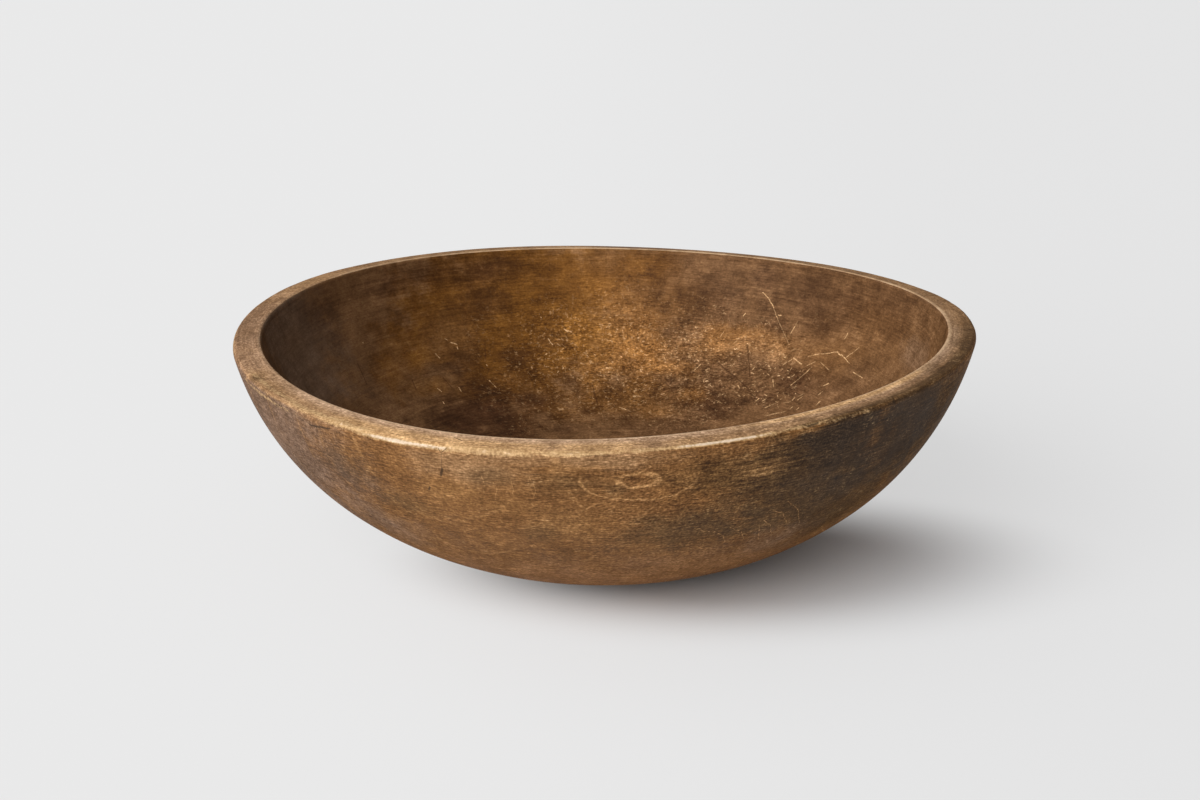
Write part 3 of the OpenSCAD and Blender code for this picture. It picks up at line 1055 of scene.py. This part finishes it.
# Stains and rubbed places in the hollow, as on the outside.
HOLLOW_PATCHES = [
    ("hollow_grey", (-170, 30, 88, 56, 74, 70, 0.9, 0.3)),
    ("hollow_dark", (-152, 76, 103, 26, 32, 13, 0.55, 0.2), (-118, 111, 87, 20, 24, 16, 0.4, 0.1)),
    ("hollow_amber", (-58, 148, 76, 78, 110, 58, 0.95, 0.55), (28, 168, 104, 24, 50, 16, 0.8, 0.2),
     (-113, 104, 72, 24, 40, 26, 0.6, 0.1)),
    ("hollow", (-87, 122, 72, 24, 34, 26, 0.4, 0.2)),
    ("hollow_grey", (-92, 98, 56, 24, 26, 12, 0.45, 0.1)),
    ("hollow_gold", (-4, 164, 98, 36, 60, 27, 0.65, 0.1), (-2, 141, 64, 40, 50, 24, 0.75, 0.2)),
    ("scuffed", (16, 158, 82, 24, 40, 16, 0.6, 0.1), (20, 141, 62, 27, 40, 22, 0.85, 0.1),
     (58, 133, 64, 26, 36, 9, 0.25, 0.1), (80, 126, 70, 34, 40, 11, 0.8, 0.2),
     (26, 135, 56, 13, 20, 6, 0.6, 0.1), (122, 96, 72, 46, 44, 18, 0.2, 0.1)),
    ("hollow_dark", (58, 152, 92, 40, 60, 18, 0.4, 0.1), (120, 118, 98, 54, 56, 20, 0.38, 0.3),
     (154, 74, 102, 26, 40, 22, 0.45, 0.3), (117, 105, 80, 18, 24, 9, 0.25, 0.1),
     (118, 76, 60, 44, 40, 13, 0.35, 0.2), (-74, 86, 37, 56, 46, 17, 0.85, 0.3),
     (-78, 80, 40, 34, 30, 12, 0.7, 0.4), (-46, 120, 54, 22, 32, 12, 0.3, 0.2),
     (-32, 110, 43, 18, 22, 8, 0.3, 0.1), (-2, 112, 41, 20, 22, 7, 0.5, 0.1),
     (-105, 135, 106, 60, 60, 10, 0.45, 0.1), (-68, 156, 100, 42, 50, 16, 0.55, 0.1),
     (-71, 148, 88, 24, 34, 15, 0.6, 0.1), (106, 92, 58, 24, 24, 9, 0.55, 0.1),
     (22, 158, 88, 18, 24, 12, 0.4, 0.1)),
    ("hollow_gold", (-103, 91, 54, 16, 20, 7, 0.3, 0.1), (-106, 105, 67, 14, 20, 9, 0.25, 0.1)),
    ("hollow_dark", (128, 100, 96, 40, 60, 20, 0.12, 0.3)),
    ("hollow_amber", (38, 150, 84, 32, 44, 26, 0.35, 0.1)),
    ("scuffed", (27, 99, 38, 12, 14, 5, 0.35, 0.1)),
    ("hollow_dark", (-66, 156, 103, 24, 40, 13, 0.6, 0.1), (-70, 108, 51, 15, 16, 6, 0.55, 0.3),
     (-42, 107, 42.5, 16, 14, 5, 0.6, 0.3), (-143, 76, 88, 10, 16, 8, 0.45, 0.1),
     (-7, 106, 38, 10, 16, 6, 0.7, 0.2), (91, 143, 102, 10, 18, 8, 0.45, 0.2),
     (136, 104, 103, 16, 24, 9, 0.45, 0.1), (97, 124, 80, 14, 18, 6, 0.45, 0.1),
     (89, 88, 48, 11, 14, 6, 0.5, 0.2), (-50, 132, 61, 23, 18, 5, 0.5, 0.2),
     (-29, 144, 66, 17, 16, 6, 0.45, 0.2), (21, 146, 66, 9, 14, 5, 0.45, 0.1)),
    ("scuffed", (-52, 119, 50, 10, 14, 5, 0.35, 0.1)),
    ("hollow_amber", (-60, 154, 90, 40, 50, 18, 0.45, 0.2), (36, 158, 92, 44, 50, 30, 0.22, 0.2),
     (20, 108, 44, 50, 30, 12, 0.25, 0.2), (-108, 92, 56, 20, 24, 12, 0.25, 0.2)),
    ("scuffed", (-6, 130, 53, 12, 16, 5, 0.4, 0.1)),
    ("hollow_dark", (-64, 150, 89, 19, 26, 16, 0.4, 0.3), (-119, 123, 103, 13, 16, 9, 0.45, 0.2),
     (7, 156, 76, 11, 16, 9, 0.35, 0.2), (-21, 86, 31, 11, 12, 5, 0.5, 0.2),
     (62, 111, 50, 10, 12, 5, 0.45, 0.2), (62, 89, 39, 12, 14, 5, 0.45, 0.2)),
    ("hollow_gold", (-7, 167, 95, 13, 20, 9, 0.4, 0.2)),
    ("scuffed", (29, 152, 75, 17, 18, 8, 0.35, 0.2), (-7, 122, 46, 11, 14, 5, 0.35, 0.2)),
    ("hollow_gold", (-90, 98, 54, 11, 14, 6, 0.35, 0.2)),
    ("scuffed", (-116, 86, 62, 13, 16, 9, 0.25, 0.2)),
    ("rim_dark", (-165, 36, 96, 14, 26, 13, 0.3, 0.2)),
    ("hollow", (126, 62, 54, 10, 16, 7, 0.5, 0.1)),
    ("scuffed", (5, 129, 54, 18, 20, 6, 0.35, 0.1), (43, 124, 54, 14, 18, 6, 0.45, 0.1),
     (64, 138, 72, 18, 24, 9, 0.4, 0.1)),
    ("hollow_dark", (-78, 114, 60, 15, 26, 15, 0.55, 0.1), (-130, 112, 104, 20, 24, 8, 0.5, 0.1),
     (-38, 107, 41, 22, 18, 7, 0.65, 0.1), (-63, 89, 39, 16, 16, 6, 0.8, 0.2)),
    ("hollow_grey", (84, 122, 68, 30, 34, 11, 0.35, 0.1)),
    ("hollow_amber", (6, 108, 42, 60, 40, 15, 0.5, 0.1)),
    ("hollow_gold", (150, 66, 92, 40, 60, 26, 0.1, 0.2)),
    ("hollow_dark", (64, 102, 43, 36, 28, 8, 0.65, 0.2)),
    ("scuffed", (49, 111, 45, 13, 18, 5, 0.35, 0.1)),
    ("hollow_dark", (44, 86, 32, 50, 34, 8, 0.25, 0.2)),
    ("rim_dark", (164, 23, 93, 18, 26, 12, 0.95, 0.3)),
    ("hollow_dark", (0, 20, 18, 70, 60, 20, 0.5, 0.1)),
    ("scuffed", (-40, -110, 50, 60, 50, 30, 0.4, 0.1)),
    ("hollow_gold", (60, -130, 70, 50, 50, 30, 0.4, 0.1)),
    ("hollow_grey", (-60, -150, 90, 80, 50, 30, 0.6, 0.1)),
]

# Pale scratches in the hollow, as on the outside, but from the hollow's middle.
PALE_SCRATCHES = [
    (0.4, 57.5, 195.7, 56.2, 193.5, 54.7, 189.5, 53.3, 184.4, 51.2, 177.8, 47.2, 167.7),
    (0.4, 47.6, 183.0, 48.2, 174.3), (0.45, 33.9, 183.1, 34.0, 179.7),
    (0.4, 28.7, 177.6, 30.8, 170.1), (0.45, 41.0, 163.4, 39.5, 166.2, 34.2, 171.2, 32.4, 169.9),
    (0.4, 32.6, 170.7, 28.7, 167.6), (0.4, 25.9, 164.0, 21.9, 163.5),
    (0.5, 46.2, 155.1, 44.8, 159.7), (0.5, 44.5, 160.8, 41.6, 158.3),
    (0.5, 40.6, 144.3, 38.4, 158.5), (0.4, 39.9, 158.4, 38.4, 162.2),
    (0.4, 37.0, 162.7, 33.2, 159.9), (0.5, 46.5, 144.6, 44.9, 140.3),
    (0.6, 46.8, 128.2, 46.6, 130.4), (0.6, 45.0, 129.3, 44.5, 131.4),
    (0.45, 42.6, 125.4, 40.4, 131.6), (0.6, 36.8, 135.5, 37.1, 138.1),
    (0.6, 35.4, 137.2, 35.0, 139.9), (0.6, 30.8, 144.5, 30.4, 146.8),
    (0.6, 28.6, 138.4, 28.6, 141.2), (0.6, 31.5, 150.4, 30.6, 152.8),
    (0.6, 39.9, 120.4, 38.8, 122.9, 35.8, 127.2), (0.5, 35.2, 130.0, 35.0, 131.9),
    (0.5, 33.1, 131.1, 33.0, 132.4), (0.55, 68.2, 140.2, 67.3, 142.7, 66.6, 146.0),
    (0.55, 53.2, 148.0, 52.9, 150.1), (0.5, 64.1, 165.5, 63.6, 168.7),
    (0.6, 67.8, 167.9, 67.7, 168.9), (0.6, 66.5, 169.8, 66.2, 170.3),
    (0.55, 60.3, 165.7, 59.5, 166.2), (0.65, 56.5, 162.8, 56.4, 163.4),
    (0.55, 60.3, 180.1, 60.0, 181.8), (0.55, 52.6, 183.8, 51.9, 183.9),
    (0.6, 45.7, 165.4, 45.5, 166.1), (0.5, 54.6, 135.9, 53.8, 134.2),
    (0.55, 42.7, 137.0, 42.6, 137.5), (0.5, 98.5, 166.5, 97.7, 164.1),
    (0.4, 102.2, 160.5, 101.5, 156.3), (0.6, 103.3, 150.4, 103.1, 150.8),
    (0.6, 99.8, 140.5, 100.0, 140.0), (0.65, 101.1, 138.2, 101.3, 137.5),
    (0.55, 103.2, 174.4, 103.1, 173.8), (0.45, 85.1, 109.4, 81.4, 106.0),
    (0.55, 124.6, 164.9, 123.3, 163.0), (0.5, 123.5, 161.3, 123.5, 160.1),
    (0.45, 125.5, 167.4, 125.1, 166.5), (0.55, 129.4, 159.8, 128.8, 156.7),
    (0.55, 146.1, 177.0, 145.9, 176.8), (0.65, 110.2, 144.9, 109.9, 145.3),
    (0.5, 118.2, 147.3, 118.2, 146.4), (0.5, 119.3, 136.3, 118.5, 131.0),
    (0.5, 134.1, 138.4, 133.7, 135.6), (0.5, 128.3, 135.6, 128.3, 133.1),
    (0.5, 135.5, 129.1, 135.6, 127.5),
]

# Dark scratches, in the same way.
DARK_SCRATCHES = [
    (0.61, 62.9, 149.7, 59.8, 145.0, 56.4, 141.3, 51.3, 135.1), (0.47, 67.9, 139.8, 56.4, 141.3),
    (0.54, 57.0, 162.5, 55.8, 155.5, 53.8, 147.7, 53.0, 143.0), (0.47, 53.0, 143.0, 52.0, 148.7),
    (0.38, 63.1, 163.9, 56.2, 166.1), (0.61, 92.9, 127.6, 92.5, 121.5, 91.6, 112.2),
    (1.22, 72.6, 133.9, 72.4, 130.4), (0.54, 97.3, 133.6, 97.1, 129.9),
    (0.61, 86.2, 126.0, 85.0, 122.8), (0.61, 150.9, 167.5, 151.5, 161.9, 152.6, 154.9),
    (0.54, 130.8, 144.8, 130.2, 136.7), (0.54, 139.2, 148.2, 140.0, 141.7),
    (0.41, 116.7, 161.3, 117.9, 150.8),
]

# Random values of the hollow, as for the outside.
HOLLOW_NOISES = ((45.0, 4.0, 0.62), (110.0, 3.0, 0.7), (900.0, 1.0, 0.6))
HOLLOW_STREAKS = ((0.5, 3.0, 5.0), (1.2, 26.0, 9.0))

# Where the dough was worked, and the two places with the most small marks.
WORKED_PLACE = (33, 130, 55, 128, 90, 48, 1.0, 0.2)
MARKED_PLACES = ((92, 102, 55, 48, 46, 17, 0.5, 0.3), (74, 128, 68, 42, 32, 9, 0.5, 0.3))

# Short marks: seed, cell, length and width in mm, share of cells, mean angle and its spread.
PALE_MARKS = ((0.0, 10, 3.4, 0.4, 0.45, 0.5, 2.2), (0.31, 5.2, 2.0, 0.62, 0.4, 0.5, 2.2))
DARK_MARKS = ((0.53, 11, 5.0, 0.45, 0.45, 0.9, 1.6), (0.77, 11, 5.0, 0.45, 0.45, -0.6, 1.6))

# From here to here, towards +X, the wood's texture grows from calm to full.
CALM = (-0.165, -0.09)


def hollow_finish(finish, groups):
    """The hollow: dark, oiled, and scuffed and scratched by years of kneading."""
    b = Coat("hollow_wood", finish, 0.6 * finish.sheen, groups, HOLLOW_NOISES, HOLLOW_STREAKS)
    b.ragged = b.piled((b.mottle, 1.3), (b.streak, 0.4), (b.cloud, 0.4))
    wood = b.layer(finish.hollow, HOLLOW_PATCHES)

    # Fine pale scuffs and dark pits where the dough was worked.
    fleck = b.noise(b.place, 480.0, 2.0, 0.65)
    worked = b.stain(*WORKED_PLACE)
    scuff = b.times(b.fade(fleck, 0.57, 0.70), b.math("MULTIPLY_ADD", worked, 0.32, 0.02))
    wood = b.mix(scuff, wood, finish.worn_hollow)
    pit = b.times(b.fade(fleck, 0.45, 0.30), b.math("MULTIPLY_ADD", worked, 0.55, 0.05))
    wood = b.mix(pit, wood, finish.hollow_dark)

    # Short pale marks, and short dark cuts.
    marked = b.math("MAXIMUM", *(b.stain(*place) for place in MARKED_PLACES))
    shown = b.math("ADD", b.math("MULTIPLY_ADD", worked, 0.3, 0.03), marked)
    for row in PALE_MARKS:
        wood = b.mix(b.times(b.marks(*row), shown), wood, finish.worn_hollow)
    for row in DARK_MARKS:
        cuts = b.times(b.marks(*row), b.fade(b.mottle, 0.40, 0.62, 0.12, 0.6))
        wood = b.mix(cuts, wood, finish.hollow_dark)

    calm = b.fade(b.part(b.place, "X"), *CALM, 0.6, 1.0)
    strength = b.times(b.math("MULTIPLY_ADD", worked, 0.9, 0.65), calm)
    fine = b.times(b.piled((b.dash, 1.7), (b.grit, 1.2), (b.cloud, 1.3)), strength)
    broad = b.times(b.piled((b.tone, 1.8), (b.streak, 0.9), (b.cloud, 0.7)), calm)
    wood = b.deepened(wood, b.math("ADD", fine, broad))

    # The longer scratches. The pale ones come and go along their length.
    shaky = b.shaken(b.chart, b.place, 0.8 * MM, 400.0, 1.0, 0.5)
    pale = b.scratches(shaky, PALE_SCRATCHES)
    pale = b.times(pale, b.fade(b.grit, 0.33, 0.55, 0.2, 0.9), b.fade(b.cloud, 0.4, 0.58, 0.35))
    wood = b.mix(pale, wood, finish.worn_hollow)
    dark = b.scratches(shaky, DARK_SCRATCHES)
    wood = b.mix(b.times(dark, 0.7), wood, finish.hollow_dark)

    rough = b.swayed(finish.shine, b.mottle, 0.35)
    return b.finished(wood, rough, b.piled((b.dash, 0.8), (b.streak, 0.8), (b.cloud, 0.6)))


# ---------------------------------------------------------------- operators


# Half the table's width, and the middle and the reach of the bowl's shade on it, in metres.
TABLE_HALF = 9.0
SHADE_MIDDLE, SHADE_REACH = (0.074, -0.042, 0), (0.122, 0.075, 1)


class BOWL_OT_turn(bpy.types.Operator):
    """Makes the bowl, with its outside and its hollow in their own finishes"""

    bl_idname = "bowl.turn"
    bl_label = "Dough bowl"

    def execute(self, context):
        shape, finish = context.scene.bowl_shape, context.scene.wood_finish
        mesh, corner_at, arris_at = bowl_mesh(shape)
        bowl = bpy.data.objects.new("dough_bowl", mesh)
        context.scene.collection.objects.link(bowl)
        groups = {name: make_group(name) for name in GROUPS}
        mesh.materials.append(
            outside_finish(finish, shape.grain_turn, groups, corner_at, arris_at)
        )
        mesh.materials.append(hollow_finish(finish, groups))
        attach(bowl, "root")
        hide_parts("bowl")
        return {"FINISHED"}


class BOWL_OT_stage(bpy.types.Operator):
    """Makes the table, the light and the camera"""

    bl_idname = "bowl.stage"
    bl_label = "Table, light and camera"

    def execute(self, context):
        scene, studio = context.scene, context.scene.studio
        self.lay_table(scene, studio)
        self.hang_light(scene, studio)
        self.place_camera(scene, studio)
        scene.view_settings.view_transform = "Standard"
        return {"FINISHED"}

    def lay_table(self, scene, studio):
        """A wide sheet of pale paper, which keeps the bowl's shadow."""
        mesh = bpy.data.meshes.new("table")
        ways = ((-1, -1), (1, -1), (1, 1), (-1, 1))
        mesh.from_pydata([(x * TABLE_HALF, y * TABLE_HALF, 0) for x, y in ways], [], [range(4)])
        table = bpy.data.objects.new("table", mesh)
        scene.collection.objects.link(table)
        material = bpy.data.materials.new("pale_table")
        b = Bench(empty_tree(material))
        paper = b.add("ShaderNodeBsdfDiffuse", {"Color": (*studio.table, 1.0)})
        place = b.add("ShaderNodeTexCoord", (), "Object")
        # For the camera and in reflections the paper is partly a painted glow, a little brighter on
        # the left, which fills in the real shadow everywhere but in a compact shade under and
        # beside the bowl.
        off = b.vector("DIVIDE", b.vector("SUBTRACT", place, SHADE_MIDDLE), SHADE_REACH)
        side = b.part(place, "X")
        even = b.times(b.fade(b.length(off), 0.6, 1.65), b.fade(side, -0.16, 0.08, 0.85, 0.72))
        white = b.add("ShaderNodeCombineXYZ", (1.0, 1.0, 1.0))
        painted_glow_tone = b.vector("SCALE", white, b.fade(side, -0.1, 0.32, 0.825, 0.785))
        glow = b.add("ShaderNodeEmission", {"Color": painted_glow_tone, "Strength": 1.0})
        path = b.add("ShaderNodeLightPath", (), None).outputs
        seen = b.math("MAXIMUM", path["Is Camera Ray"], path["Is Glossy Ray"])
        seen = b.math("MAXIMUM", seen, path["Is Transmission Ray"])
        both = b.add("ShaderNodeMixShader", [b.times(even, seen), paper, glow])
        b.add("ShaderNodeOutputMaterial", {"Surface": both}, None)
        mesh.materials.append(material)

    def hang_light(self, scene, studio):
        """One big soft light, and even light all round that is stronger from the left."""
        lamp = bpy.data.lights.new("key", "SUN")
        lamp.energy = studio.key_strength
        lamp.angle = studio.key_spread
        key = bpy.data.objects.new("key", lamp)
        key.rotation_euler = (math.pi / 2 - studio.key_height, 0, studio.key_turn + math.pi / 2)
        scene.collection.objects.link(key)
        scene.world = bpy.data.worlds.new("even_light")
        b = Bench(empty_tree(scene.world))
        side = b.part(b.add("ShaderNodeTexCoord", (), "Generated"), "X")
        low, high = (studio.sky_strength * (1 + studio.sky_lean * sign) for sign in (-1, 1))
        strength = b.fade(side, -1.0, 1.0, high, low, soft=False)
        even = b.add("ShaderNodeBackground", {"Color": (1, 1, 1, 1), "Strength": strength})
        seen = b.add("ShaderNodeBackground", {"Color": (*studio.table, 1), "Strength": 1.0})
        path = b.add("ShaderNodeLightPath", (), "Is Camera Ray")
        both = b.add("ShaderNodeMixShader", [path, even, seen])
        b.add("ShaderNodeOutputWorld", {"Surface": both}, None)

    def place_camera(self, scene, studio):
        """The camera, level from side to side."""
        lens = bpy.data.cameras.new("camera")
        lens.lens = studio.camera_lens
        lens.sensor_width = 36
        camera = bpy.data.objects.new("camera", lens)
        camera.location = studio.camera_place
        camera.rotation_euler = (math.pi / 2 - studio.camera_tilt, 0, 0)
        scene.collection.objects.link(camera)
        scene.camera = camera


SETTINGS = {"bowl_shape": BowlShape, "wood_finish": WoodFinish, "studio": StudioSettings}


class BOWL_PT_panel(bpy.types.Panel):
    """Lists the sizes, colours and steps in the sidebar"""

    bl_idname = "BOWL_PT_panel"
    bl_label = "Dough bowl"
    bl_space_type = "VIEW_3D"
    bl_region_type = "UI"
    bl_category = "Dough bowl"

    def draw(self, context):
        for title, name in zip(("Shape", "Finish", "Studio"), SETTINGS):
            box = self.layout.box()
            box.label(text=title)
            settings = getattr(context.scene, name)
            for key in settings.__annotations__:
                box.prop(settings, key)
        self.layout.operator(BOWL_OT_turn.bl_idname)
        self.layout.operator(BOWL_OT_stage.bl_idname)


CLASSES = (*SETTINGS.values(), BOWL_OT_turn, BOWL_OT_stage, BOWL_PT_panel)


def register():
    """Adds the settings, the steps and the panel."""
    for kind in CLASSES:
        bpy.utils.register_class(kind)
    for name, kind in SETTINGS.items():
        setattr(bpy.types.Scene, name, PointerProperty(type=kind))


def unregister():
    """Takes them away again."""
    for name in SETTINGS:
        delattr(bpy.types.Scene, name)
    for kind in reversed(CLASSES):
        bpy.utils.unregister_class(kind)


def main():
    """Makes the bowl and its stage."""
    register()
    bpy.ops.bowl.turn()
    bpy.ops.bowl.stage()
    bpy.context.view_layer.update()


if __name__ == "__main__":
    main()
